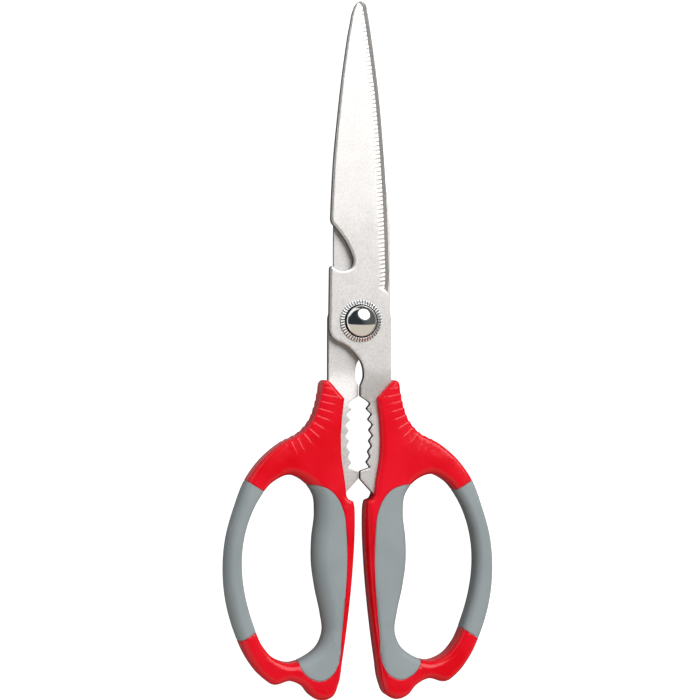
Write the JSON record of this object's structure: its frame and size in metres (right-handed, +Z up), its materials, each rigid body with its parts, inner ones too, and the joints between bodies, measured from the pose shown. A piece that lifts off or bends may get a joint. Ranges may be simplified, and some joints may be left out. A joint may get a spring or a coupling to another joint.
{
  "type": "poultry shears",
  "caption": "Poultry shears with serrated upper blade, spine notch, toothed jaws behind the pivot and soft-sleeved finger loops.",
  "frame": {"origin": "centre of the bounding box in plan, on the surface the shears lie on", "axes": "+X to the right seen from the front, +Y toward the blade tips, +Z up from the back of the handles through the domed front"},
  "size_m": [0.0832, 0.2149, 0.0125],
  "materials": {
    "blade_steel": "fine satin",
    "bolt_steel": "mirror polished",
    "ring_steel": "bright, knurled",
    "handle_red": "satin moulded",
    "grip_grey": "matt soft"
  },
  "bodies": {
    "rear_half": {"rear_blade": "blade_steel", "left_handle": "handle_red", "left_bow_grip": "grip_grey", "left_palm_grip": "grip_grey"},
    "front_half": {"front_blade": "blade_steel", "right_handle": "handle_red", "right_bow_grip": "grip_grey", "right_palm_grip": "grip_grey", "pivot_bolt": "bolt_steel", "knurled_washer": "ring_steel", "spring_washer": "ring_steel", "pivot_nut": "ring_steel"}
  },
  "joints": [
    {"name": "blade_pivot", "type": "hinge", "parent": "rear_half", "child": "front_half", "pos_m": [0, 0.0088, 0.0055], "axis": [0, 0, 1], "range_deg": [0, 118]}
  ]
}
